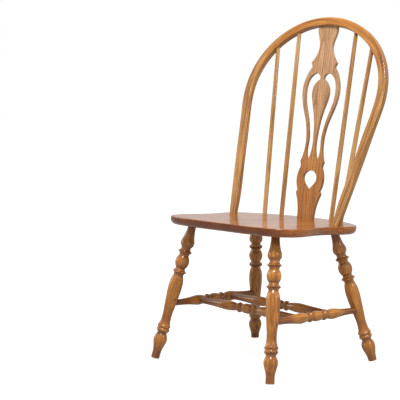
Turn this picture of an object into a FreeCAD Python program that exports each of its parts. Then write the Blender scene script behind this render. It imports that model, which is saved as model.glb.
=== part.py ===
"""Bow-back dining chair with a pierced keyhole splat, turned legs and turned stretchers, in millimetres.

The chair stands on the floor at z = 0 and faces -Y. Left and right are the sitter's, so left is +X.
Every wooden piece is one solid. Round ends run full size into their sockets, and the splat has tongues.
"""
import FreeCAD
import Part
import math
import os

Vector = FreeCAD.Vector

# Overall: y runs from this line through the seat's waist, and CENTRING moves the whole chair on its origin
SEAT_HEIGHT = 428.5
SEAT_TILT = 3.05
CENTRING = -17.2

# Seat: half outline from the middle of the front edge round to the middle of the back edge
SEAT_THICK = 25.0
SEAT_TOP_ROUND = 2.5
SEAT_UNDER_ROUND = 15.0
SEAT_FRONT = -222.0
SEAT_BACK = 224.0
SEAT_SIDE = [(92, -221), (152, -217), (203, -205), (235, -182), (252, -150), (256, -116), (250, -78),
             (242, -36), (241, 2), (248, 42), (255, 74), (254, 102), (240, 132), (206, 163), (160, 189),
             (100, 211), (42, 222)]

# Bow: a hoop in one leaning plane, measured up that plane from the seat and across it
BOW_FOOT_Y = 59.0
BOW_LEAN = 19.05
BOW_RISE = 656.0
BOW_WIDEST_AT = 407.0
BOW_HALF_WIDTH = 285.0
BOW_FOOT_HALF_WIDTH = 222.5
BOW_LEG_POWER = 1.15
BOW_FACE = 27.0
BOW_FOOT_FACE = 19.5
BOW_TAPER = 90.0
BOW_LEG_HEIGHTS = (-30, 0, 45, 90, 150, 220, 310)
BOW_ARCH_ANGLES = (0, 14, 28, 42, 56, 70, 80)
BOW_DEPTH = 22.0
BOW_FRONT_ROUND = 3.5
BOW_BACK_ROUND = 6.0
BOW_TENON_DIA = 15.5
BOW_TENON = 17.0

# Splat: half outline up the board, cut into runs at its cusps, and its openings
SPLAT_FOOT_Y = 169.0
SPLAT_LEAN = 9.95
SPLAT_THICK = 10.0
SPLAT_TOP = 609.0
SPLAT_RUNS = [
    [(32, 0), (37.5, 47), (48, 75)],
    [(48, 75), (48.6, 81), (43.8, 88)],
    [(43.8, 88), (51.5, 108), (52.5, 132), (43, 160)],
    [(43, 160), (43.6, 169), (47, 178)],
    [(47, 178), (38.5, 202), (34.2, 238), (45, 304), (60, 342), (71, 378), (73.5, 406), (67.5, 438), (45, 476)],
    [(45, 476), (47.6, 484), (51.5, 490)],
    [(51.5, 490), (34, 513), (25.2, 540), (29.5, 564), (36.5, 584), (34, SPLAT_TOP)],
]
SLOT = [(7, 438), (9.5, 450), (22, 457.5), (40, 452), (53, 438), (61, 404), (57, 366), (42, 323), (31.5, 286),
        (26.5, 246), (27.5, 206), (19, 184.5), (9.5, 204), (5.5, 248), (10, 298), (19.5, 341), (31, 378),
        (32, 408), (22, 427), (7, 438)]
DROP = [(0, 81), (13, 103), (26, 119), (26, 136), (14, 148), (0, 151)]
TONGUE_THICK = 7.0
FOOT_TONGUE = (46.0, 14.0)
HEAD_TONGUE = (44.0, 17.0)

# Spindles: where they stand on the seat, and where they meet the bow, as an angle round its arch from the side
SPINDLES = {"outer": (157.5, 155.5, 41.7), "inner": (103.0, 175.5, 63.2)}
SPINDLE_HEAD_DEPTH = 12.8
SPINDLE_FOOT_DIA = 14.5
SPINDLE_BELLY_DIA = 15.0
SPINDLE_HEAD_DIA = 12.5
SPINDLE_SUNK = 15.0
SPINDLE_HEAD_SUNK = 11.0

# Legs: the foot's centre on the floor and the axis at the seat's underside, then the turning down the leg
LEGS = {"front": ((241.0, -245.0), (172.0, -150.0)), "rear": ((248.0, 209.5), (162.0, 121.0))}
LEG_SUNK = 17.0
LEG_TOP_DIA = 24.8
FOOT_DIA = 26.2
FOOT_FLAT = 1.2
LEG_RUNS = [
    [(5, LEG_TOP_DIA), (30, 29.8), (44, 36), (54, 41.9), (58.5, 42.4), (64.5, 40.2), (69, 33.7), (75, 29.4)],
    [(75, 29.4), (80.5, 32), (84.2, 40.8)],
    [(84.2, 40.8), (86, 42.6), (87.8, 40.8)],
    [(87.8, 40.8), (91.5, 32.4), (98, 29.2)],
    [(98, 29.2), (104, 36.4), (115, 42.8), (128, 39.2), (137, 29.2)],
    [(137, 29.2), (143.3, 32), (147, 40.8)],
    [(147, 40.8), (148.8, 42.6), (150.6, 40.8)],
    [(150.6, 40.8), (154.5, 32.4), (160.6, 29.6)],
    [(160.6, 29.6), (170, 36.6), (189, 42.2), (226, 39.4), (262, 33.4), (287, 29), (304, 30.2), (314, 33.4), (319, 36.8)],
    [(319, 36.8), (323.1, 40.6), (327.2, 37.2)],
    [(327.2, 37.2), (329.1, 35.8), (331, 37.2)],
    [(331, 37.2), (335, 40.6), (339.3, 36.8)],
    [(339.3, 36.8), (342.5, 31.8), (347.2, 29)],
    [(347.2, 29), (353.5, 36.2), (364, 41.6), (376, 39), (388, 32.6), (398, 27.8), (407, FOOT_DIA)],
]

# Stretchers: axis height down the legs, and the half turning from the middle ball outwards
STRETCHER_DOWN = 251.0
STRETCHER_END_DIA = 19.0
SIDE_END_SHORT = 3.0
CROSS_FROM_MIDDLE = 70.0
CROSS_END_SHORT = 6.0
STRETCHER_RUNS = [
    [(0, 30.8), (11, 28.8), (19.3, 22.2)],
    [(19.3, 22.2), (25.5, 24), (29.8, 29.8)],
    [(29.8, 29.8), (31.5, 31.2), (33.2, 29.8)],
    [(33.2, 29.8), (37.2, 24), (43.3, 22.2)],
]
SIDE_VASE = [(43.3, 22.2), (55, 28), (71, 31.8), (86, 29.3), (104, 24.8), (128, 20.9), (150, STRETCHER_END_DIA)]
CROSS_VASE = [(43.3, 22.2), (58, 26.6), (80, 30), (104, 27.6), (132, 23.4), (160, 20.2), (184, STRETCHER_END_DIA)]

# Hidden metal: a screw up into each bow foot and a headless pin through the bow into the splat
SCREW_LENGTH = 42.0
SCREW_DIA = 4.5
SCREW_HEAD_DIA = 8.6
SCREW_HEAD = 3.2
SCREW_POCKET_DIA = 9.6
SCREW_BELOW_TENON = 5.0
PIN_DIA = 2.2
PIN_LENGTH = 17.0
PIN_BELOW_CREST = 13.5

SIDES = {"left": 1, "right": -1}
TRIM = 500.0


def seat_z(y):
    """Height of the seat's sloping top face at y."""
    return SEAT_HEIGHT - y * math.tan(math.radians(SEAT_TILT))


def seat_frame():
    """Placement whose z = 0 plane is the seat's top face."""
    return FreeCAD.Placement(Vector(0, 0, SEAT_HEIGHT), FreeCAD.Rotation(Vector(1, 0, 0), -SEAT_TILT))


def board_frame(foot_y, lean):
    """Placement of a board that leans back from the seat: x across, y into its thickness, z up its face."""
    return FreeCAD.Placement(Vector(0, foot_y, seat_z(foot_y)), FreeCAD.Rotation(Vector(1, 0, 0), -lean))


def placed(shape, placement):
    """Copy of a shape moved from its own axes into the chair."""
    return shape.transformed(placement.toMatrix(), True)


def smooth(points):
    """One smooth edge through points."""
    curve = Part.BSplineCurve()
    curve.interpolate(points)
    return curve.toShape()


def below_seat_top():
    """Block under the plane of the seat's top face, used to trim the bow's feet."""
    block = Part.makeBox(2 * TRIM, 2 * TRIM, TRIM, Vector(-TRIM, -TRIM, -TRIM))
    return placed(block, seat_frame())


def turned(runs):
    """Turned wood about the z axis from runs of (distance along, diameter)."""
    profile = [[Vector(dia / 2, 0, z) for z, dia in run] for run in runs]
    first = profile[0][0]
    last = profile[-1][-1]
    edges = [Part.makeLine(Vector(0, 0, first.z), first)]
    for run in profile:
        edges.append(Part.makeLine(run[0], run[1]) if len(run) == 2 else smooth(run))
    edges.append(Part.makeLine(last, Vector(0, 0, last.z)))
    edges.append(Part.makeLine(Vector(0, 0, last.z), Vector(0, 0, first.z)))
    face = Part.Face(Part.Wire(edges))
    return face.revolve(Vector(0, 0, 0), Vector(0, 0, 1), 360)


def along(shape, start, end):
    """Turned piece laid with its z axis from one point towards another."""
    return placed(shape, FreeCAD.Placement(start, FreeCAD.Rotation(Vector(0, 0, 1), end - start)))


def make_seat_blank():
    """Plank with a waisted outline, eased above and rounded well under, before its sockets are bored."""
    side = [Vector(x, y, 0) for x, y in SEAT_SIDE]
    mirrored = [Vector(-p.x, p.y, 0) for p in reversed(side)]
    outline = Part.BSplineCurve()
    outline.interpolate(Points=[Vector(0, SEAT_FRONT, 0)] + side + [Vector(0, SEAT_BACK, 0)] + mirrored,
                        PeriodicFlag=True)
    plank = Part.Face(Part.Wire(outline.toShape())).extrude(Vector(0, 0, -SEAT_THICK))
    under = [edge for edge in plank.Edges if edge.CenterOfMass.z < -SEAT_THICK + 1]
    plank = plank.makeFillet(SEAT_UNDER_ROUND, under)
    top = [edge for edge in plank.Edges if edge.CenterOfMass.z > -1]
    return placed(plank.makeFillet(SEAT_TOP_ROUND, top), seat_frame())


def bow_point(angle, inset):
    """Point on the bow's elliptical arch, by angle from its widest line, set in from the outer edge."""
    across = (BOW_HALF_WIDTH - inset) * math.cos(math.radians(angle))
    up = (BOW_RISE - BOW_WIDEST_AT - inset) * math.sin(math.radians(angle))
    return Vector(across, 0, BOW_WIDEST_AT + up)


def bow_leg_point(height, inset):
    """Point on the bow's leg below its widest line, drawn in towards the foot where the face tapers."""
    drop = (BOW_WIDEST_AT - height) / BOW_WIDEST_AT
    outer = BOW_HALF_WIDTH - (BOW_HALF_WIDTH - BOW_FOOT_HALF_WIDTH) * drop ** BOW_LEG_POWER
    taper = max(0.0, 1 - height / BOW_TAPER) ** 1.5
    face = BOW_FACE - (BOW_FACE - BOW_FOOT_FACE) * min(1.0, taper)
    return Vector(outer - inset / BOW_FACE * face, 0, height)


def bow_edge(inset):
    """Smooth edge of the bow from its left foot over the crest to its right foot."""
    leg = [bow_leg_point(height, inset) for height in BOW_LEG_HEIGHTS]
    arch = [bow_point(angle, inset) for angle in BOW_ARCH_ANGLES]
    half = leg + arch
    crest = bow_point(90, inset)
    return smooth(half + [crest] + [Vector(-p.x, 0, p.z) for p in reversed(half)])


def bow_tenon_axis(side):
    """Start and direction of the round tenon at one bow foot, in the bow's plane."""
    foot = bow_leg_point(0, BOW_FACE / 2)
    above = bow_leg_point(45, BOW_FACE / 2)
    down = (foot - above).normalize()
    middle = Vector(side * foot.x, BOW_DEPTH / 2, foot.z)
    return middle, Vector(side * down.x, 0, down.z)


def make_bow_blank():
    """Bent hoop with eased edges, trimmed to the seat's top face, with a round tenon under each foot."""
    outer = bow_edge(0)
    inner = bow_edge(BOW_FACE)
    ends = [Part.makeLine(outer.Vertexes[i].Point, inner.Vertexes[i].Point) for i in (0, 1)]
    hoop = Part.Face(Part.Wire(Part.__sortEdges__([outer, inner] + ends)))
    hoop = hoop.extrude(Vector(0, BOW_DEPTH, 0))
    for face_y, radius in ((0, BOW_FRONT_ROUND), (BOW_DEPTH, BOW_BACK_ROUND)):
        long_edges = [e for e in hoop.Edges if e.Length > BOW_RISE and abs(e.CenterOfMass.y - face_y) < 0.1]
        hoop = hoop.makeFillet(radius, long_edges)
    frame = board_frame(BOW_FOOT_Y, BOW_LEAN)
    hoop = placed(hoop, frame).cut(below_seat_top())
    for side in SIDES.values():
        start, down = bow_tenon_axis(side)
        tenon = Part.makeCylinder(BOW_TENON_DIA / 2, 2 * BOW_TENON, start - down * BOW_TENON, down)
        hoop = hoop.fuse(placed(tenon, frame))
    return hoop.removeSplitter()


def tongue(width, length, z):
    """Thin tongue in the middle of the splat's thickness, standing up from z."""
    return Part.makeBox(width, TONGUE_THICK, length, Vector(-width / 2, (SPLAT_THICK - TONGUE_THICK) / 2, z))


def make_splat():
    """Flat board with a cusped outline, two long slots round a vase, and a drop-shaped hole below."""
    half = [[Vector(x, 0, z) for x, z in run] for run in SPLAT_RUNS]
    other = [[Vector(-p.x, 0, p.z) for p in run] for run in half]
    top = Part.makeLine(half[-1][-1], other[-1][-1])
    bottom = Part.makeLine(half[0][0], other[0][0])
    outline = Part.Wire(Part.__sortEdges__([smooth(run) for run in half + other] + [top, bottom]))
    slots = [Part.Wire(smooth([Vector(side * x, 0, z) for x, z in SLOT])) for side in SIDES.values()]
    drop_side = [smooth([Vector(side * x, 0, z) for x, z in DROP]) for side in SIDES.values()]
    board = Part.Face(outline)
    for hole in slots + [Part.Wire(Part.__sortEdges__(drop_side))]:
        board = board.cut(Part.Face(hole))
    board = board.extrude(Vector(0, SPLAT_THICK, 0))
    foot_width, foot_length = FOOT_TONGUE
    head_width, head_length = HEAD_TONGUE
    board = board.fuse(tongue(foot_width, foot_length, -foot_length))
    board = board.fuse(tongue(head_width, head_length, SPLAT_TOP))
    return placed(board.removeSplitter(), board_frame(SPLAT_FOOT_Y, SPLAT_LEAN))


def make_spindle(side, foot_x, foot_y, angle):
    """Slim turned spindle from its socket in the seat to its socket in the bow."""
    foot = Vector(side * foot_x, foot_y, seat_z(foot_y))
    meeting = bow_point(angle, BOW_FACE)
    head = board_frame(BOW_FOOT_Y, BOW_LEAN).multVec(Vector(side * meeting.x, SPINDLE_HEAD_DEPTH, meeting.z))
    length = (head - foot).Length
    runs = [
        [(-SPINDLE_SUNK, SPINDLE_FOOT_DIA), (0, SPINDLE_FOOT_DIA)],
        [(0, SPINDLE_FOOT_DIA), (length * 0.35, SPINDLE_BELLY_DIA), (length * 0.75, 13.8), (length, SPINDLE_HEAD_DIA)],
        [(length, SPINDLE_HEAD_DIA), (length + SPINDLE_HEAD_SUNK, SPINDLE_HEAD_DIA)],
    ]
    return along(turned(runs), foot, head)


def leg_axis(side, row):
    """Where one leg's axis meets the seat's underside and the centre of its foot's square-cut end."""
    foot, top = LEGS[row]
    at_seat = Vector(side * top[0], top[1], seat_z(top[1]) - SEAT_THICK / math.cos(math.radians(SEAT_TILT)))
    on_floor = Vector(side * foot[0], foot[1], 0)
    lean = (on_floor - at_seat).getAngle(Vector(0, 0, -1))
    raise_end = FOOT_DIA / 2 * math.sin(lean) - FOOT_FLAT
    return at_seat, on_floor + (at_seat - on_floor).normalize() * raise_end


def make_leg(side, row):
    """Splayed turned leg: vase, disc, ball, disc, long taper, double ring and vase foot, flat on the floor."""
    top, foot = leg_axis(side, row)
    length = (foot - top).Length
    start = [[(-LEG_SUNK, LEG_TOP_DIA), (5, LEG_TOP_DIA)]]
    end = [[(LEG_RUNS[-1][-1][0], FOOT_DIA), (length, FOOT_DIA)]]
    leg = along(turned(start + LEG_RUNS + end), top, foot)
    below_floor = Part.makeBox(80, 80, 40, Vector(foot.x - 40, foot.y - 40, -40))
    return leg.cut(below_floor)


def side_stretcher_axis(side):
    """Points where a side stretcher's axis crosses the axes of its front and rear legs."""
    ends = []
    for row in ("front", "rear"):
        top, foot = leg_axis(side, row)
        ends.append(top + (foot - top).normalize() * STRETCHER_DOWN)
    return ends


def make_stretcher(start, end, short, vase):
    """Turned stretcher between two axes, with a ball and two discs in the middle and a vase each side."""
    half = (end - start).Length / 2
    outward = STRETCHER_RUNS + [vase, [vase[-1], (half - short, STRETCHER_END_DIA)]]
    inward = [[(-z, dia) for z, dia in reversed(run)] for run in reversed(outward[1:])]
    ball = [(-z, dia) for z, dia in reversed(STRETCHER_RUNS[0])] + STRETCHER_RUNS[0][1:]
    return along(turned(inward + [ball] + outward[1:]), (start + end) / 2, end)


def cross_stretcher_axis(row):
    """Points where a cross stretcher's axis meets the two side stretchers' axes."""
    ends = []
    for side in SIDES.values():
        front, rear = side_stretcher_axis(side)
        middle = (front + rear) / 2
        towards = (front - rear).normalize() if row == "front" else (rear - front).normalize()
        ends.append(middle + towards * CROSS_FROM_MIDDLE)
    return ends


def make_bow_screws():
    """Countersunk screw up each bow foot, and the round pocket that its head sits in."""
    frame = board_frame(BOW_FOOT_Y, BOW_LEAN)
    screws = []
    pockets = []
    for side in SIDES.values():
        start, down = bow_tenon_axis(side)
        head = start + down * (BOW_TENON + SCREW_BELOW_TENON)
        cone = Part.makeCone(SCREW_HEAD_DIA / 2, SCREW_DIA / 2, SCREW_HEAD, head, down * -1)
        shank = Part.makeCylinder(SCREW_DIA / 2, SCREW_LENGTH, head, down * -1)
        pocket = Part.makeCylinder(SCREW_POCKET_DIA / 2, 20, head, down)
        screws.append(placed(cone.fuse(shank).removeSplitter(), frame))
        pockets.append(placed(pocket, frame))
    return Part.makeCompound(screws), Part.makeCompound(pockets)


def make_splat_pin():
    """Headless pin driven into the bow's front face at the crest, through the splat's top tongue."""
    pin = Part.makeCylinder(PIN_DIA / 2, PIN_LENGTH, Vector(0, 0, BOW_RISE - PIN_BELOW_CREST), Vector(0, 1, 0))
    return placed(pin, board_frame(BOW_FOOT_Y, BOW_LEAN))


def make_chair():
    """All pieces, each one cut by what is let into it."""
    pieces = {}
    screws, screw_pockets = make_bow_screws()
    pin = make_splat_pin()
    splat = make_splat()
    bow = make_bow_blank()
    spindles = {}
    for side_name, side in SIDES.items():
        for place, (foot_x, foot_y, angle) in SPINDLES.items():
            spindles[f"spindle_{place}_{side_name}"] = make_spindle(side, foot_x, foot_y, angle)
    legs = {f"leg_{row}_{name}": make_leg(side, row) for row in LEGS for name, side in SIDES.items()}
    side_stretchers = {}
    for name, side in SIDES.items():
        front, rear = side_stretcher_axis(side)
        side_stretchers[f"side_stretcher_{name}"] = make_stretcher(front, rear, SIDE_END_SHORT, SIDE_VASE)
    cross_stretchers = {}
    for row in LEGS:
        left, right = cross_stretcher_axis(row)
        cross_stretchers[f"cross_stretcher_{row}"] = make_stretcher(left, right, CROSS_END_SHORT, CROSS_VASE)

    pieces["seat"] = make_seat_blank().cut([bow, splat, screws, screw_pockets] + list(spindles.values())
                                           + list(legs.values()))
    pieces["splat"] = splat.cut(pin)
    pieces["bow"] = bow.cut([splat, pin, screws] + list(spindles.values()))
    pieces["bow_screws"] = screws
    pieces["splat_pin"] = pin
    pieces.update(spindles)
    for name, leg in legs.items():
        pieces[name] = leg.cut(list(side_stretchers.values()))
    for name, stretcher in side_stretchers.items():
        pieces[name] = stretcher.cut(list(cross_stretchers.values()))
    pieces.update(cross_stretchers)
    return pieces


def main():
    """Write one file for each piece, with the chair centred over its origin."""
    os.makedirs("parts", exist_ok=True)
    for name, shape in make_chair().items():
        shape = shape.translated(Vector(0, CENTRING, 0))
        box = shape.BoundBox
        print(f"{name:24s} {len(shape.Solids)} solid, valid {shape.isValid()}, {shape.Volume / 1000:8.1f} cm3,"
              f" x {box.XMin:7.1f} {box.XMax:7.1f}  y {box.YMin:7.1f} {box.YMax:7.1f}"
              f"  z {box.ZMin:7.1f} {box.ZMax:7.1f}")
        solids = shape.Solids
        kept = solids[0] if len(solids) == 1 else Part.makeCompound(solids)
        kept.exportStep(f"parts/{name}.step")


main()
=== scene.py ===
"""Oak finish, studio floor, lamps and camera for a bow-back dining chair with a pierced splat.

Positions are in metres. The chair faces -Y, and left is the sitter's, so left is +X.
Wood patterns are worked out in millimetres along and across each piece's own grain.
"""

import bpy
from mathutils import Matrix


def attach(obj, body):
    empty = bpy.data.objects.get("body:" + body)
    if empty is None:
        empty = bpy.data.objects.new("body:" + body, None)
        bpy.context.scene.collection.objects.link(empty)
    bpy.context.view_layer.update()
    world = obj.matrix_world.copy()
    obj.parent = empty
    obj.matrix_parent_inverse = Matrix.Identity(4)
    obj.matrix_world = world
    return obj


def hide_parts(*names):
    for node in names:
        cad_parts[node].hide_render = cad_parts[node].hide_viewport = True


bl_info = {
    "name": "Bow-Back Chair Finish",
    "version": (1, 0, 0),
    "blender": (4, 5, 0),
    "location": "View3D > Sidebar > Chair",
    "description": "Finishes a bent and turned oak dining chair and sets up its studio",
    "category": "Object",
}

import math

import bmesh
import bpy
from mathutils import Matrix, Vector

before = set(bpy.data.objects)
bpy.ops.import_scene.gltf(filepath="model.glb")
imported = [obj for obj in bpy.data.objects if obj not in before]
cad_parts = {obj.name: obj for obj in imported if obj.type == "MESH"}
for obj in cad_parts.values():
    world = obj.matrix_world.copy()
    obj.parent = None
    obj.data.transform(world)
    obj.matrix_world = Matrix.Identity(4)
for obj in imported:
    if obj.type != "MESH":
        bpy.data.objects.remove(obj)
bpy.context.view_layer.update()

MM = 0.001

# Lines of the chair that the grain follows, as the solids have them
CENTRING = -17.2 * MM
SEAT_HEIGHT = 428.5 * MM
SEAT_TILT = math.radians(3.05)
SEAT_THICK = 25.0 * MM
BOW_FOOT_Y = 59.0 * MM
BOW_LEAN = math.radians(19.05)
SPLAT_FOOT_Y = 169.0 * MM
SPLAT_LEAN = math.radians(9.95)
LEG_LINES = {
    "front": ((241.0, -245.0), (172.0, -150.0)),
    "rear": ((248.0, 209.5), (162.0, 121.0)),
}
STRETCHER_DOWN = 251.0 * MM
CROSS_FROM_MIDDLE = 70.0 * MM
SIDES = {"left": 1, "right": -1}

# The bow in its own plane, in millimetres: an elliptical arch on two legs that draw in to their feet
BOW_WIDEST_AT = 407.0
BOW_HALF_WIDTH = 285.0
BOW_ARCH_HEIGHT = 249.0
BOW_DRAW_IN = 62.5
BOW_LEG_POWER = 1.15
BOW_ARCH_RADIUS = 262.0
BOW_FACE = 27.0
SPINDLES = {"outer": (157.5, 155.5, 41.7), "inner": (103.0, 175.5, 63.2)}
SPINDLE_HEAD_DEPTH = 12.8

# Where in the log each piece was sawn, in millimetres across the grain from the log's heart
SEAT_CUT = (-45, 34)
BOW_CUT = (52, 20)
SPLAT_CUT = (12, 26)
SPINDLE_CUTS = {"outer": (24, 31), "inner": (-28, 22)}
LEG_CUTS = {"front": (38, 14), "rear": (-17, 44)}
STRETCHER_CUT = (27, 33)
STRETCHER_CUT_STEP = (-9, 5)
SPLAT_LOG_TURN = math.radians(1.6)

# Radii in millimetres below which a turned piece holds most stain and painted shade and above which it
# holds none
SPINDLE_STAIN_AND_SHADE_RADII = (2, 3)
LEG_STAIN_AND_SHADE_RADII = (11.6, 17.6)
STRETCHER_STAIN_AND_SHADE_RADII = (10, 13.5)

# Sizes of the oak's marks in millimetres, across and along the grain
SWAY_MARKS = (70, 420)
RING_MARKS = (1, 16)
STREAK_MARKS = (6.5, 240)
TONE_MARKS = (46, 380)
FLECK_MARKS = (2.4, 64)
FIBRE_MARKS = (0.8, 26)
PORE_MARKS = (0.42, 5.0)
SWAY_REACH = 16

# Most that the figure of each seat board is moved: across, down and along the board, in millimetres
BOARD_OFFSETS = (90.0, 40.0, 900.0)

# How far each kind of mark moves the wood between dark (0) and light (1), and where its middle lies
RING_SHARE = 0.50
STREAK_SHARE = 1.45
TONE_SHARE = 0.75
FLECK_SHARE = 0.9
FIBRE_SHARE = 0.45
MIDDLE = 0.5
BELOW_MIDDLE = 0.32
PORE_DEPTH = 0.7

# Contrast of the figure, as a share of the bow's
SEAT_CONTRAST = 0.8
SPLAT_CONTRAST = 0.6
TURNED_CONTRAST = 0.82

# Shares of stain, painted shade, painted sheen and tint, and the millimetres along the bow and up the splat
# over which the tint and the sheen come in.
# The width of a board's joint is a share of the board's own.
COVE_STAIN_AND_SHADE = 0.75
STEEP_STAIN_AND_SHADE = 0.85
# Painted shade all over each stretcher
STRETCHER_PAINTED_SHADE = 0.15
SPINDLE_MELLOW = 0.85
BOARD_JOINT = 0.006
JOINT_STAIN = 0.4
SEAT_END_STAIN = 0.95
BOW_LEG_FROM = (120, 420)
BOW_LEG_MELLOW = 0.75
BOW_CREST_STAIN = 0.2
SPLAT_SHEEN_FROM = (110, 430)
SPLAT_END_STAIN = 0.6

# The splat's board: its solid's points this close are one, the edges sharper than this are rounded, and the
# faces whose normals are this near to its thickness stay flat
SAME_POINT = 1e-6
SHARP_ANGLE = math.radians(35)
FLAT_FACE = 0.9999

# Lamps: place and width of each, and the point that they face. The floor's own glow keeps it white.
LAMP_AIM = Vector((0, 0, 0.5))
KEY_LAMP = ((0.9, -1.1, 3.0), 0.8)
SIDE_LAMP = ((-2.6, -1.24, 1.12), 1.0)
GLINT_LAMP = ((2.7, -0.1, 1.65), 0.4)
FLOOR_GLOW = 0.78
GLOW_IN_GLOSS = 0.2


# Settings that a user would change


class ChairWoodSettings(bpy.types.PropertyGroup):
    """Colours and sizes of the oak and its lacquer."""

    dark_colour: bpy.props.FloatVectorProperty(
        name="Dark grain", description="Colour of the darkest growth lines", subtype="COLOR",
        default=(0.165, 0.046, 0.0065), min=0, max=1)
    mid_colour: bpy.props.FloatVectorProperty(
        name="Middle grain", description="Colour of most of the wood", subtype="COLOR",
        default=(0.388, 0.137, 0.0170), min=0, max=1)
    light_colour: bpy.props.FloatVectorProperty(
        name="Light grain", description="Colour of the palest wood between growth lines", subtype="COLOR",
        default=(0.590, 0.262, 0.0480), min=0, max=1)
    pore_colour: bpy.props.FloatVectorProperty(
        name="Pores", description="Colour of stain held in the open pores", subtype="COLOR",
        default=(0.105, 0.031, 0.006), min=0, max=1)
    # Tint of stain in end grain and joints, and of painted shade in the turned hollows and on the
    # stretchers
    stain_and_shade_colour: bpy.props.FloatVectorProperty(
        name="Deep stain", description="Tint of stain gathered in hollows and end grain", subtype="COLOR",
        default=(0.44, 0.31, 0.22), min=0, max=1)
    splat_stain: bpy.props.FloatVectorProperty(
        name="Splat stain", description="Tint of the splat as a whole", subtype="COLOR",
        default=(0.88, 0.86, 0.80), min=0, max=1)
    # Painted sheen: a paler, bluer tint that grows up the splat
    painted_sheen_tint: bpy.props.FloatVectorProperty(
        name="Pale wood", description="Tint that makes the top of the splat paler than the other pieces",
        subtype="COLOR", default=(1.22, 1.84, 6.6), min=0, max=8)
    mellow_tint: bpy.props.FloatVectorProperty(
        name="Mellow wood", description="Tint that makes the spindles and the bow's legs yellower",
        subtype="COLOR", default=(0.97, 1.30, 2.6), min=0, max=8)
    seat_stain: bpy.props.FloatVectorProperty(
        name="Seat stain", description="Tint that makes the seat deeper than the other pieces",
        subtype="COLOR", default=(0.78, 0.66, 0.60), min=0, max=1)
    ring_width: bpy.props.FloatProperty(
        name="Growth ring", description="Average width of a growth ring, in millimetres",
        default=3.4, min=0.5, max=12)
    board_width: bpy.props.FloatProperty(
        name="Seat board", description="Width of each board glued into the seat", subtype="DISTANCE",
        unit="LENGTH", default=0.104, min=0.03, max=0.3)
    coat: bpy.props.FloatProperty(
        name="Lacquer", description="Strength of the clear coat", subtype="FACTOR",
        default=0.75, min=0, max=1)
    coat_roughness: bpy.props.FloatProperty(
        name="Lacquer roughness", description="How soft the clear coat's highlights are", subtype="FACTOR",
        default=0.11, min=0, max=1)
    edge_round: bpy.props.FloatProperty(
        name="Splat edges", description="Sanded round on the splat's edges", subtype="DISTANCE",
        unit="LENGTH", default=0.0009, min=0.0001, max=0.003)


class ChairStudioSettings(bpy.types.PropertyGroup):
    """Floor, lamps and camera."""

    floor_size: bpy.props.FloatProperty(
        name="Floor", description="Width of the floor", subtype="DISTANCE", unit="LENGTH",
        default=24.0, min=2)
    floor_colour: bpy.props.FloatVectorProperty(
        name="Floor colour", description="Colour of the studio floor", subtype="COLOR",
        default=(0.4, 0.4, 0.4), min=0, max=1)
    sky_strength: bpy.props.FloatProperty(
        name="Studio fill", description="Strength of the light that comes from all round",
        default=0.70, min=0)
    key_power: bpy.props.FloatProperty(
        name="Key lamp", description="Power of the soft lamp above and in front of the chair",
        subtype="POWER", unit="POWER", default=88.0, min=0)
    side_power: bpy.props.FloatProperty(
        name="Side lamp", description="Power of the low soft lamp at the chair's right", subtype="POWER",
        unit="POWER", default=13.0, min=0)
    glint_power: bpy.props.FloatProperty(
        name="Glint lamp", description="Power of the small lamp at the chair's left", subtype="POWER",
        unit="POWER", default=12.0, min=0)
    camera_place: bpy.props.FloatVectorProperty(
        name="Camera", description="Where the camera stands", subtype="TRANSLATION", unit="LENGTH",
        default=(2.921, -3.1545, 0.9551))
    camera_turn: bpy.props.FloatVectorProperty(
        name="Camera turn", description="Which way the camera points", subtype="EULER", unit="ROTATION",
        default=(math.radians(83.806), math.radians(-0.06), math.radians(45.728)))
    camera_shift: bpy.props.FloatVectorProperty(
        name="Camera shift", description="Small sideways and upward shift of the view, in picture widths",
        size=2, default=(0.00125, -0.00075))
    lens: bpy.props.FloatProperty(
        name="Lens", description="Focal length in millimetres on a 36 mm frame", default=127.67, min=10)


# Shader nodes


def feed(tree, socket, value):
    """Join an output to a socket, or set the socket's own value."""
    if isinstance(value, bpy.types.NodeSocket):
        tree.links.new(value, socket)
    else:
        socket.default_value = value


def shader_node(tree, kind, inputs, **settings):
    """Add a node with its settings, and feed its inputs by name."""
    made = tree.nodes.new(kind)
    for name, value in settings.items():
        setattr(made, name, value)
    for name, value in inputs.items():
        feed(tree, made.inputs[name], value)
    return made


def maths(tree, operation, *values, clamp=False):
    """Math node on one to three numbers or outputs."""
    made = tree.nodes.new("ShaderNodeMath")
    made.operation = operation
    made.use_clamp = clamp
    for socket, value in zip(made.inputs, values):
        feed(tree, socket, value)
    return made.outputs[0]


def vectors(tree, operation, *values):
    """Vector Math node that gives a vector."""
    made = tree.nodes.new("ShaderNodeVectorMath")
    made.operation = operation
    for socket, value in zip(made.inputs, values):
        feed(tree, socket, value)
    return made.outputs["Vector"]


def stretched(tree, grain, across, along):
    """Coordinates for a pattern whose marks are so many millimetres across and along the grain."""
    made = shader_node(tree, "ShaderNodeMapping", {
        "Vector": grain, "Scale": (1 / across, 1 / across, 1 / along)})
    return made.outputs["Vector"]


def clouds(tree, grain, marks, detail=2.0, roughness=0.5):
    """Outputs of soft noise whose marks have a size across and along the grain."""
    made = shader_node(tree, "ShaderNodeTexNoise", {
        "Vector": stretched(tree, grain, *marks), "Scale": 1.0, "Detail": detail, "Roughness": roughness})
    return made.outputs


def between(tree, value, low, high):
    """Smooth step from 0 at low to 1 at high."""
    made = shader_node(tree, "ShaderNodeMapRange", {
        "Value": value, "From Min": low, "From Max": high}, interpolation_type="SMOOTHSTEP")
    return made.outputs["Result"]


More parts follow.
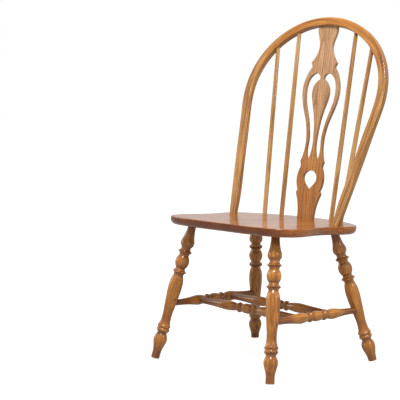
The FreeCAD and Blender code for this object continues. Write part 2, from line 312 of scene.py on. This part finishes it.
def ramp(tree, value, stops):
    """Colour ramp through (position, colour) stops."""
    made = tree.nodes.new("ShaderNodeValToRGB")
    elements = made.color_ramp.elements
    while len(elements) > 1:
        elements.remove(elements[-1])
    elements[0].position = stops[0][0]
    elements[0].color = stops[0][1]
    for position, colour in stops[1:]:
        elements.new(position).color = colour
    feed(tree, made.inputs["Fac"], value)
    return made.outputs["Color"]


def grey(level):
    """Colour of one level."""
    return (level, level, level, 1)


def opaque(colour):
    """Colour with full alpha."""
    return (*colour, 1)


def tinted(tree, amount, base, tint):
    """Colour multiplied by a tint, by an amount."""
    made = tree.nodes.new("ShaderNodeMix")
    made.data_type = "RGBA"
    made.blend_type = "MULTIPLY"
    feed(tree, made.inputs["Factor"], amount)
    feed(tree, made.inputs["A"], base)
    feed(tree, made.inputs["B"], tint)
    return made.outputs["Result"]


def mixed(tree, amount, first, second):
    """One colour turning into another."""
    made = tree.nodes.new("ShaderNodeMix")
    made.data_type = "RGBA"
    feed(tree, made.inputs["Factor"], amount)
    feed(tree, made.inputs["A"], first)
    feed(tree, made.inputs["B"], second)
    return made.outputs["Result"]


# Grain coordinates: x and y across the piece and z along its grain, in millimetres


def own_axes(tree, origin, turn):
    """Coordinates in millimetres along a piece's own axes, which stand at origin and are turned."""
    place = shader_node(tree, "ShaderNodeTexCoord", {})
    made = shader_node(tree, "ShaderNodeMapping", {
        "Vector": place.outputs["Object"], "Location": origin, "Rotation": turn.to_euler(),
        "Scale": (MM, MM, MM)}, vector_type="TEXTURE")
    return made.outputs["Vector"]


def endwise(tree, along):
    """How far the surface faces along the grain: 0 on the side of a piece and 1 on its end."""
    place = shader_node(tree, "ShaderNodeTexCoord", {})
    made = shader_node(tree, "ShaderNodeVectorMath", {0: place.outputs["Normal"], 1: along},
                       operation="DOT_PRODUCT")
    return maths(tree, "ABSOLUTE", made.outputs["Value"])


def turn_to(direction):
    """Rotation whose z axis points along a direction."""
    return direction.to_track_quat("Z", "Y").to_matrix()


def leaning(angle):
    """Rotation of a board that leans back from upright."""
    return Matrix.Rotation(-angle, 3, "X")


def seat_z(y):
    """Height of the seat's top face at y, measured before the chair is centred."""
    return SEAT_HEIGHT - y * math.tan(SEAT_TILT)


def centred(x, y, z):
    """Point of the chair on its origin."""
    return Vector((x, y + CENTRING, z))


def leg_line(row, side):
    """A leg's axis at the seat's underside and on the floor."""
    foot, top = LEG_LINES[row]
    top_y = top[1] * MM
    at_seat = centred(side * top[0] * MM, top_y, seat_z(top_y) - SEAT_THICK / math.cos(SEAT_TILT))
    on_floor = centred(side * foot[0] * MM, foot[1] * MM, 0)
    return at_seat, on_floor


def side_stretcher_line(side):
    """Points where a side stretcher's axis meets its front and rear legs."""
    ends = []
    for row in LEG_LINES:
        top, foot = leg_line(row, side)
        ends.append(top + (foot - top).normalized() * STRETCHER_DOWN)
    return ends


def cross_stretcher_line(row):
    """Points where a cross stretcher's axis meets the side stretchers."""
    ends = []
    for side in SIDES.values():
        front, rear = side_stretcher_line(side)
        towards = (front - rear).normalized() if row == "front" else (rear - front).normalized()
        ends.append((front + rear) / 2 + towards * CROSS_FROM_MIDDLE)
    return ends


def spindle_line(side, foot_x, foot_y, angle):
    """Where a spindle stands on the seat and where it meets the bow."""
    foot = centred(side * foot_x * MM, foot_y * MM, seat_z(foot_y * MM))
    across = (BOW_HALF_WIDTH - BOW_FACE) * math.cos(math.radians(angle))
    up = BOW_WIDEST_AT + (BOW_ARCH_HEIGHT - BOW_FACE) * math.sin(math.radians(angle))
    in_bow = Vector((side * across, SPINDLE_HEAD_DEPTH, up)) * MM
    return foot, centred(0, BOW_FOOT_Y, seat_z(BOW_FOOT_Y)) + leaning(BOW_LEAN) @ in_bow


def bow_grain(tree):
    """Coordinates that follow the bent bow: in from its outer edge, back, and round from its crest."""
    flat = own_axes(tree, centred(0, BOW_FOOT_Y, seat_z(BOW_FOOT_Y)), leaning(BOW_LEAN))
    parts = shader_node(tree, "ShaderNodeSeparateXYZ", {"Vector": flat}).outputs
    side = maths(tree, "SIGN", parts["X"])
    out = maths(tree, "ABSOLUTE", parts["X"])
    rise = maths(tree, "SUBTRACT", parts["Z"], BOW_WIDEST_AT)
    above = maths(tree, "DIVIDE", maths(tree, "MAXIMUM", rise, 0.0), BOW_ARCH_HEIGHT)
    below = maths(tree, "MAXIMUM", maths(tree, "MULTIPLY", rise, -1.0), 0.0)
    share = maths(tree, "POWER", maths(tree, "DIVIDE", below, BOW_WIDEST_AT), BOW_LEG_POWER)
    wide = maths(tree, "DIVIDE", maths(tree, "MULTIPLY_ADD", share, BOW_DRAW_IN, out), BOW_HALF_WIDTH)
    angle = maths(tree, "ARCTAN2", above, wide)
    radius = maths(tree, "SQRT", maths(tree, "ADD", maths(tree, "MULTIPLY", wide, wide),
                                       maths(tree, "MULTIPLY", above, above)))
    inward = maths(tree, "MULTIPLY", maths(tree, "SUBTRACT", 1.0, radius), BOW_ARCH_RADIUS)
    quarter = maths(tree, "SUBTRACT", math.pi / 2, angle)
    around = maths(tree, "MULTIPLY_ADD", quarter, BOW_ARCH_RADIUS, below)
    signed = maths(tree, "MULTIPLY", side, around)
    made = shader_node(tree, "ShaderNodeCombineXYZ", {"X": inward, "Y": parts["Y"], "Z": signed})
    return made.outputs["Vector"]


# Oak


def growth_rings(tree, wood, log):
    """Growth rings round the log's heart, from 0 at the start of each year to 1 at its end."""
    made = shader_node(tree, "ShaderNodeTexWave", {
        "Vector": stretched(tree, log, *RING_MARKS), "Scale": 2 * math.pi / (20 * wood.ring_width),
        "Distortion": 3.0, "Detail": 2.0, "Detail Scale": 0.45, "Detail Roughness": 0.6},
        wave_type="RINGS", rings_direction="Z", wave_profile="SAW")
    return made.outputs["Fac"]


def oak_figure(tree, wood, grain, cut, contrast=1.0):
    """Colour, roughness and height of one piece of oak, sawn from the log at cut."""
    sway = clouds(tree, grain, SWAY_MARKS, detail=1.0)["Color"]
    shift = vectors(tree, "MULTIPLY", vectors(tree, "SUBTRACT", sway, (0.5, 0.5, 0.5)),
                    (SWAY_REACH, SWAY_REACH, 0))
    log = vectors(tree, "ADD", vectors(tree, "ADD", grain, shift), (*cut, 0))
    rings = growth_rings(tree, wood, log)
    ring_tone = ramp(tree, rings, [(0.0, grey(0.05)), (0.14, grey(0.30)), (0.42, grey(0.74)),
                                   (0.86, grey(1.0)), (1.0, grey(0.62))])
    streaks = clouds(tree, log, STREAK_MARKS, detail=3.0, roughness=0.62)["Fac"]
    tone = clouds(tree, log, TONE_MARKS, detail=1.0)["Fac"]
    flecks = clouds(tree, grain, FLECK_MARKS, detail=1.0)["Fac"]
    fibre = clouds(tree, grain, FIBRE_MARKS, detail=2.0, roughness=0.6)["Fac"]
    early = maths(tree, "SUBTRACT", 1.0, between(tree, rings, 0.10, 0.55))
    dashes = clouds(tree, grain, PORE_MARKS, detail=0.0)["Fac"]
    pores = maths(tree, "MULTIPLY", between(tree, dashes, 0.56, 0.66),
                  maths(tree, "MULTIPLY_ADD", early, 0.8, 0.2))
    value = maths(tree, "MULTIPLY", ring_tone, RING_SHARE)
    for part, share in ((streaks, STREAK_SHARE), (tone, TONE_SHARE), (flecks, FLECK_SHARE),
                        (fibre, FIBRE_SHARE)):
        value = maths(tree, "MULTIPLY_ADD", maths(tree, "SUBTRACT", part, 0.5), share, value)
    value = maths(tree, "MULTIPLY_ADD", value, contrast, MIDDLE - BELOW_MIDDLE * contrast)
    colour = ramp(tree, value, [(0.10, opaque(wood.dark_colour)), (0.50, opaque(wood.mid_colour)),
                                (0.90, opaque(wood.light_colour))])
    colour = mixed(tree, maths(tree, "MULTIPLY", pores, PORE_DEPTH), colour, opaque(wood.pore_colour))
    height = maths(tree, "SUBTRACT", maths(tree, "MULTIPLY", fibre, 0.5), pores)
    rough = maths(tree, "MULTIPLY_ADD", pores, 0.16, maths(tree, "MULTIPLY_ADD", fibre, -0.14, 0.47))
    return colour, rough, height


def new_material(name):
    """Empty material and its node tree."""
    material = bpy.data.materials.new(name)
    material.use_nodes = True
    material.node_tree.nodes.clear()
    return material, material.node_tree


def lacquer(tree, wood, colour, rough, height):
    """Stained wood under clear satin lacquer, joined to the material's output."""
    bump = shader_node(tree, "ShaderNodeBump", {"Height": height, "Strength": 0.35, "Distance": 0.0003})
    shader = shader_node(tree, "ShaderNodeBsdfPrincipled", {
        "Base Color": colour, "Roughness": rough, "Normal": bump.outputs["Normal"],
        "Coat Weight": wood.coat, "Coat Roughness": wood.coat_roughness, "Specular IOR Level": 0.15})
    shader_node(tree, "ShaderNodeOutputMaterial", {"Surface": shader.outputs["BSDF"]})


def wear_the_finish(node_name, material):
    """Give a solid its material."""
    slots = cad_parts[node_name].material_slots
    if not slots:
        raise RuntimeError(f"{node_name} has no material slot")
    for slot in slots:
        slot.material = material


def turned_oak(name, wood, start, end, cut, stain_and_shade_radii, mellow=0.0, deeper=0.0):
    """Oak of a turned piece between two points: stain and painted shade gather where it is narrow and
    steep.

    mellow is its share of the yellower tint, and deeper is painted shade all over it.
    """
    material, tree = new_material(name)
    along = (end - start).normalized()
    grain = own_axes(tree, start, turn_to(along))
    colour, rough, height = oak_figure(tree, wood, grain, cut, TURNED_CONTRAST)
    colour = tinted(tree, mellow, colour, opaque(wood.mellow_tint))
    across = vectors(tree, "MULTIPLY", grain, (1, 1, 0))
    radius = shader_node(tree, "ShaderNodeVectorMath", {0: across}, operation="LENGTH").outputs["Value"]
    # Stain and painted shade: darker where the piece is narrow and on its steep shoulders
    hollow = maths(tree, "SUBTRACT", 1.0, between(tree, radius, *stain_and_shade_radii))
    steep = between(tree, endwise(tree, along), 0.2, 0.95)
    stain = maths(tree, "MULTIPLY_ADD", hollow, COVE_STAIN_AND_SHADE,
                  maths(tree, "MULTIPLY_ADD", steep, STEEP_STAIN_AND_SHADE, deeper), clamp=True)
    colour = tinted(tree, stain, colour, opaque(wood.stain_and_shade_colour))
    lacquer(tree, wood, colour, rough, height)
    return material


def seat_oak(wood):
    """Oak boards glued edge to edge, with their grain from front to back."""
    material, tree = new_material("seat_oak")
    turn = Matrix.Rotation(-SEAT_TILT, 3, "X")
    flat = own_axes(tree, centred(0, 0, SEAT_HEIGHT), turn)
    parts = shader_node(tree, "ShaderNodeSeparateXYZ", {"Vector": flat}).outputs
    width = wood.board_width / MM
    count = maths(tree, "ADD", maths(tree, "DIVIDE", parts["X"], width), 0.5)
    board = maths(tree, "FLOOR", count)
    chance = shader_node(tree, "ShaderNodeTexWhiteNoise", {"W": board}, noise_dimensions="1D").outputs
    spread = shader_node(tree, "ShaderNodeSeparateColor", {"Color": chance["Color"]}).outputs
    within = maths(tree, "MULTIPLY", maths(tree, "SUBTRACT", maths(tree, "FRACT", count), 0.5), width)
    over, deep, along = BOARD_OFFSETS
    x = maths(tree, "MULTIPLY_ADD", spread["Red"], over, within)
    y = maths(tree, "MULTIPLY_ADD", spread["Green"], deep, parts["Z"])
    z = maths(tree, "MULTIPLY_ADD", spread["Blue"], along, parts["Y"])
    grain = shader_node(tree, "ShaderNodeCombineXYZ", {"X": x, "Y": y, "Z": z}).outputs["Vector"]
    colour, rough, height = oak_figure(tree, wood, grain, SEAT_CUT, SEAT_CONTRAST)
    colour = tinted(tree, 1.0, colour, opaque(wood.seat_stain))
    to_joint = maths(tree, "PINGPONG", maths(tree, "FRACT", count), 0.5)
    joint = maths(tree, "SUBTRACT", 1.0, between(tree, to_joint, 0.0, BOARD_JOINT))
    ends = between(tree, endwise(tree, turn @ Vector((0, 1, 0))), 0.4, 0.98)
    stain = maths(tree, "ADD", maths(tree, "MULTIPLY", joint, JOINT_STAIN),
                  maths(tree, "MULTIPLY", ends, SEAT_END_STAIN), clamp=True)
    colour = tinted(tree, stain, colour, opaque(wood.stain_and_shade_colour))
    lacquer(tree, wood, colour, rough, height)
    return material


def bow_oak(wood):
    """Oak of the bent bow: its grain runs round with it, and its legs are yellower than its crest."""
    material, tree = new_material("bow_oak")
    grain = bow_grain(tree)
    colour, rough, height = oak_figure(tree, wood, grain, BOW_CUT)
    signed = shader_node(tree, "ShaderNodeSeparateXYZ", {"Vector": grain}).outputs["Z"]
    leg = between(tree, maths(tree, "ABSOLUTE", signed), *BOW_LEG_FROM)
    mellow = maths(tree, "MULTIPLY", leg, BOW_LEG_MELLOW)
    colour = tinted(tree, mellow, colour, opaque(wood.mellow_tint))
    crest = maths(tree, "MULTIPLY_ADD", leg, -BOW_CREST_STAIN, BOW_CREST_STAIN)
    colour = tinted(tree, crest, colour, opaque(wood.stain_and_shade_colour))
    lacquer(tree, wood, colour, rough, height)
    return material


def splat_oak(wood):
    """Flat-sawn oak of the splat: the arches of its growth rings climb the face, which a painted sheen
    makes paler upwards.
    """
    material, tree = new_material("splat_oak")
    turn = leaning(SPLAT_LEAN)
    log_turn = turn @ Matrix.Rotation(SPLAT_LOG_TURN, 3, "X")
    grain = own_axes(tree, centred(0, SPLAT_FOOT_Y, seat_z(SPLAT_FOOT_Y)), log_turn)
    colour, rough, height = oak_figure(tree, wood, grain, SPLAT_CUT, SPLAT_CONTRAST)
    rise = shader_node(tree, "ShaderNodeSeparateXYZ", {"Vector": grain}).outputs["Z"]
    colour = tinted(tree, 1.0, colour, opaque(wood.splat_stain))
    # Painted sheen, paler towards the splat's top
    colour = tinted(tree, between(tree, rise, *SPLAT_SHEEN_FROM), colour, opaque(wood.painted_sheen_tint))
    steep = between(tree, endwise(tree, turn @ Vector((0, 0, 1))), 0.3, 0.95)
    stain = maths(tree, "MULTIPLY", steep, SPLAT_END_STAIN)
    colour = tinted(tree, stain, colour, opaque(wood.stain_and_shade_colour))
    lacquer(tree, wood, colour, rough, height)
    return material


def specked(name, scale, detail, dark, light, smoothest, bumps, metallic):
    """Material with fine specks between two colours, for small hardware."""
    material, tree = new_material(name)
    place = shader_node(tree, "ShaderNodeTexCoord", {})
    specks = shader_node(tree, "ShaderNodeTexNoise", {
        "Vector": place.outputs["Object"], "Scale": scale, "Detail": detail}).outputs["Fac"]
    colour = ramp(tree, specks, [(0.3, opaque(dark)), (0.7, opaque(light))])
    rough = maths(tree, "MULTIPLY_ADD", specks, 0.2, smoothest)
    bump = shader_node(tree, "ShaderNodeBump", {"Height": specks, "Strength": bumps, "Distance": 0.0001})
    shader = shader_node(tree, "ShaderNodeBsdfPrincipled", {
        "Base Color": colour, "Roughness": rough, "Normal": bump.outputs["Normal"], "Metallic": metallic})
    shader_node(tree, "ShaderNodeOutputMaterial", {"Surface": shader.outputs["BSDF"]})
    return material


def zinc(name):
    """Dull zinc plating of a screw."""
    return specked(name, 900.0, 3.0, (0.42, 0.42, 0.40), (0.60, 0.60, 0.57), 0.3, 0.2, 1.0)


def filled_pin(name):
    """Red-brown filler over a headless pin."""
    return specked(name, 2500.0, 2.0, (0.045, 0.010, 0.005), (0.09, 0.022, 0.010), 0.4, 0.3, 0.0)


# Operators, one for each piece or group of like pieces


class CHAIR_OT_finish_seat(bpy.types.Operator):
    """Finish the seat as glued oak boards"""

    bl_idname = "chair.finish_seat"
    bl_label = "Finish Seat"

    def execute(self, context):
        wear_the_finish("seat", seat_oak(context.scene.chair_wood))
        return {"FINISHED"}


class CHAIR_OT_finish_bow(bpy.types.Operator):
    """Finish the bent bow in oak"""

    bl_idname = "chair.finish_bow"
    bl_label = "Finish Bow"

    def execute(self, context):
        wear_the_finish("bow", bow_oak(context.scene.chair_wood))
        return {"FINISHED"}


class CHAIR_OT_finish_splat(bpy.types.Operator):
    """Sand the splat's edges round and finish it in oak"""

    bl_idname = "chair.finish_splat"
    bl_label = "Finish Splat"

    def execute(self, context):
        wood = context.scene.chair_wood
        facing = leaning(SPLAT_LEAN) @ Vector((0, 1, 0))
        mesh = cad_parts["splat"].data.copy()
        mesh.name = "splat_board"
        shape = bmesh.new()
        shape.from_mesh(mesh)
        bmesh.ops.remove_doubles(shape, verts=shape.verts, dist=SAME_POINT)
        sharp = [edge for edge in shape.edges if edge.calc_face_angle(0) > SHARP_ANGLE]
        bmesh.ops.bevel(shape, geom=sharp, offset=wood.edge_round, offset_type="OFFSET", affect="EDGES",
                        segments=2, profile=0.5, material=-1, clamp_overlap=True)
        for face in shape.faces:
            face.smooth = abs(face.normal.dot(facing)) < FLAT_FACE
        shape.to_mesh(mesh)
        shape.free()
        board = bpy.data.objects.new("splat_board", mesh)
        context.scene.collection.objects.link(board)
        mesh.materials.clear()
        mesh.materials.append(splat_oak(wood))
        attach(board, "root")
        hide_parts("splat")
        return {"FINISHED"}


class CHAIR_OT_finish_spindles(bpy.types.Operator):
    """Finish the four spindles in oak"""

    bl_idname = "chair.finish_spindles"
    bl_label = "Finish Spindles"

    def execute(self, context):
        wood = context.scene.chair_wood
        for place, (foot_x, foot_y, angle) in SPINDLES.items():
            for side_name, side in SIDES.items():
                name = f"spindle_{place}_{side_name}"
                foot, head = spindle_line(side, foot_x, foot_y, angle)
                across, deep = SPINDLE_CUTS[place]
                material = turned_oak(f"{name}_oak", wood, foot, head, (across, side * deep),
                                      SPINDLE_STAIN_AND_SHADE_RADII, mellow=SPINDLE_MELLOW)
                wear_the_finish(name, material)
        return {"FINISHED"}


class CHAIR_OT_finish_legs(bpy.types.Operator):
    """Finish the four turned legs in oak, darker in their coves"""

    bl_idname = "chair.finish_legs"
    bl_label = "Finish Legs"

    def execute(self, context):
        wood = context.scene.chair_wood
        for row, (across, deep) in LEG_CUTS.items():
            for side_name, side in SIDES.items():
                name = f"leg_{row}_{side_name}"
                top, foot = leg_line(row, side)
                material = turned_oak(f"{name}_oak", wood, top, foot, (side * across, deep), LEG_STAIN_AND_SHADE_RADII)
                wear_the_finish(name, material)
        return {"FINISHED"}


class CHAIR_OT_finish_stretchers(bpy.types.Operator):
    """Finish the side and cross stretchers in oak"""

    bl_idname = "chair.finish_stretchers"
    bl_label = "Finish Stretchers"

    def execute(self, context):
        wood = context.scene.chair_wood
        lines = {f"side_stretcher_{name}": side_stretcher_line(side) for name, side in SIDES.items()}
        lines.update({f"cross_stretcher_{row}": cross_stretcher_line(row) for row in LEG_LINES})
        for number, (name, (start, end)) in enumerate(lines.items()):
            cut = [first + number * step for first, step in zip(STRETCHER_CUT, STRETCHER_CUT_STEP)]
            # The stretchers also get painted shade all over
            material = turned_oak(f"{name}_oak", wood, start, end, cut, STRETCHER_STAIN_AND_SHADE_RADII,
                                  deeper=STRETCHER_PAINTED_SHADE)
            wear_the_finish(name, material)
        return {"FINISHED"}


class CHAIR_OT_finish_hardware(bpy.types.Operator):
    """Finish the screws in zinc and the pin as filled"""

    bl_idname = "chair.finish_hardware"
    bl_label = "Finish Hardware"

    def execute(self, context):
        wear_the_finish("bow_screws", zinc("screw_zinc"))
        wear_the_finish("splat_pin", filled_pin("pin_filler"))
        return {"FINISHED"}


def lamp(context, name, place, size, power):
    """Square soft lamp that points at the middle of the chair."""
    light = bpy.data.lights.new(name, "AREA")
    light.shape = "SQUARE"
    light.size = size
    light.energy = power
    made = bpy.data.objects.new(name, light)
    context.scene.collection.objects.link(made)
    made.location = place
    made.rotation_euler = (LAMP_AIM - Vector(place)).to_track_quat("-Z", "Y").to_euler()


def white_studio(context, studio):
    """World that fills from all round and shows as white to the camera."""
    world = bpy.data.worlds.new("white_studio")
    context.scene.world = world
    world.use_nodes = True
    tree = world.node_tree
    tree.nodes.clear()
    path = shader_node(tree, "ShaderNodeLightPath", {}).outputs
    seen = maths(tree, "MAXIMUM", path["Is Camera Ray"], path["Is Transmission Ray"])
    strength = maths(tree, "MULTIPLY_ADD", seen, 1.0 - studio.sky_strength, studio.sky_strength)
    shader = shader_node(tree, "ShaderNodeBackground", {"Color": (1, 1, 1, 1), "Strength": strength})
    shader_node(tree, "ShaderNodeOutputWorld", {"Surface": shader.outputs["Background"]})


def floor_material(studio):
    """Pale paper floor that shows as white and keeps a soft shadow."""
    material, tree = new_material("studio_floor")
    path = shader_node(tree, "ShaderNodeLightPath", {}).outputs
    seen = maths(tree, "MAXIMUM", path["Is Camera Ray"], path["Is Transmission Ray"])
    seen = maths(tree, "MULTIPLY_ADD", path["Is Glossy Ray"], GLOW_IN_GLOSS, seen)
    paper = shader_node(tree, "ShaderNodeBsdfDiffuse", {"Color": opaque(studio.floor_colour)})
    glow = shader_node(tree, "ShaderNodeEmission", {
        "Color": (1, 1, 1, 1), "Strength": maths(tree, "MULTIPLY", seen, FLOOR_GLOW)})
    both = shader_node(tree, "ShaderNodeAddShader", {0: paper.outputs["BSDF"], 1: glow.outputs["Emission"]})
    shader_node(tree, "ShaderNodeOutputMaterial", {"Surface": both.outputs["Shader"]})
    return material


class CHAIR_OT_set_studio(bpy.types.Operator):
    """Lay the floor, hang the lamps and stand the camera"""

    bl_idname = "chair.set_studio"
    bl_label = "Set Studio"

    def execute(self, context):
        studio = context.scene.chair_studio
        mesh = bpy.data.meshes.new("studio_floor")
        shape = bmesh.new()
        bmesh.ops.create_grid(shape, x_segments=1, y_segments=1, size=studio.floor_size / 2)
        shape.to_mesh(mesh)
        shape.free()
        floor = bpy.data.objects.new("studio_floor", mesh)
        context.scene.collection.objects.link(floor)
        mesh.materials.append(floor_material(studio))
        lamp(context, "key_lamp", *KEY_LAMP, studio.key_power)
        lamp(context, "side_lamp", *SIDE_LAMP, studio.side_power)
        lamp(context, "glint_lamp", *GLINT_LAMP, studio.glint_power)
        white_studio(context, studio)
        context.scene.view_settings.view_transform = "Standard"
        camera = bpy.data.cameras.new("camera")
        camera.lens = studio.lens
        camera.shift_x, camera.shift_y = studio.camera_shift
        stand = bpy.data.objects.new("camera", camera)
        context.scene.collection.objects.link(stand)
        stand.location = studio.camera_place
        stand.rotation_euler = studio.camera_turn
        context.scene.camera = stand
        return {"FINISHED"}


class CHAIR_PT_finish(bpy.types.Panel):
    """Chair finish and studio"""

    bl_idname = "CHAIR_PT_finish"
    bl_label = "Bow-Back Chair"
    bl_space_type = "VIEW_3D"
    bl_region_type = "UI"
    bl_category = "Chair"

    def draw(self, context):
        for settings in (context.scene.chair_wood, context.scene.chair_studio):
            for name in settings.__annotations__:
                self.layout.prop(settings, name)
        for operator in OPERATORS:
            self.layout.operator(operator.bl_idname)


OPERATORS = (
    CHAIR_OT_finish_seat, CHAIR_OT_finish_bow, CHAIR_OT_finish_splat, CHAIR_OT_finish_spindles,
    CHAIR_OT_finish_legs, CHAIR_OT_finish_stretchers, CHAIR_OT_finish_hardware, CHAIR_OT_set_studio,
)
CLASSES = (ChairWoodSettings, ChairStudioSettings, *OPERATORS, CHAIR_PT_finish)


def register():
    """Add the settings, operators and panel."""
    for each in CLASSES:
        bpy.utils.register_class(each)
    bpy.types.Scene.chair_wood = bpy.props.PointerProperty(type=ChairWoodSettings)
    bpy.types.Scene.chair_studio = bpy.props.PointerProperty(type=ChairStudioSettings)


def unregister():
    """Take them away again."""
    del bpy.types.Scene.chair_studio
    del bpy.types.Scene.chair_wood
    for each in reversed(CLASSES):
        bpy.utils.unregister_class(each)


def main():
    """Finish every piece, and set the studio."""
    register()
    bpy.ops.chair.finish_seat()
    bpy.ops.chair.finish_bow()
    bpy.ops.chair.finish_splat()
    bpy.ops.chair.finish_spindles()
    bpy.ops.chair.finish_legs()
    bpy.ops.chair.finish_stretchers()
    bpy.ops.chair.finish_hardware()
    bpy.ops.chair.set_studio()


if __name__ == "__main__":
    main()
